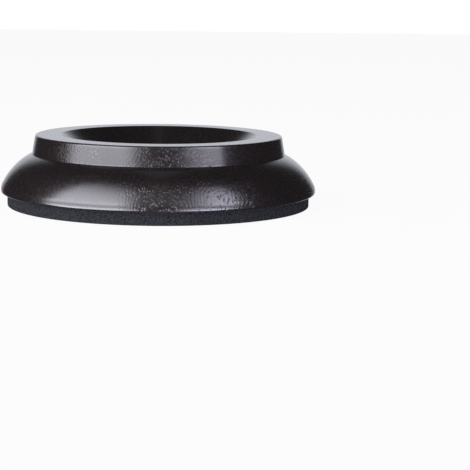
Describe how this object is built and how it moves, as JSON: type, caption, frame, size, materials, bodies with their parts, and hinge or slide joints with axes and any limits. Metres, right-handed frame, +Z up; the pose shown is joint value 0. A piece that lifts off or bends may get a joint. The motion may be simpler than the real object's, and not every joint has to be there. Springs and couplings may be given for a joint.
{
  "type": "castor cup",
  "caption": "Round turned wooden cup with a bulging side and a raised collar around a dished recess, on a foam pad; it stands under a furniture castor and spreads its load.",
  "frame": {"origin": "centre of the foam pad's underside, where the cup meets the floor", "axes": "+Z up along the turning axis, out of the recess; X and Y are alike"},
  "size_m": [0.135, 0.135, 0.03],
  "materials": {
    "lacquered_wood": "dark brown semi-gloss lacquer over open-pored turned hardwood",
    "foam": "matt closed-cell foam, charcoal grey"
  },
  "bodies": {
    "root": {"wooden_cup": "lacquered_wood", "base_pad": "foam"}
  },
  "joints": []
}
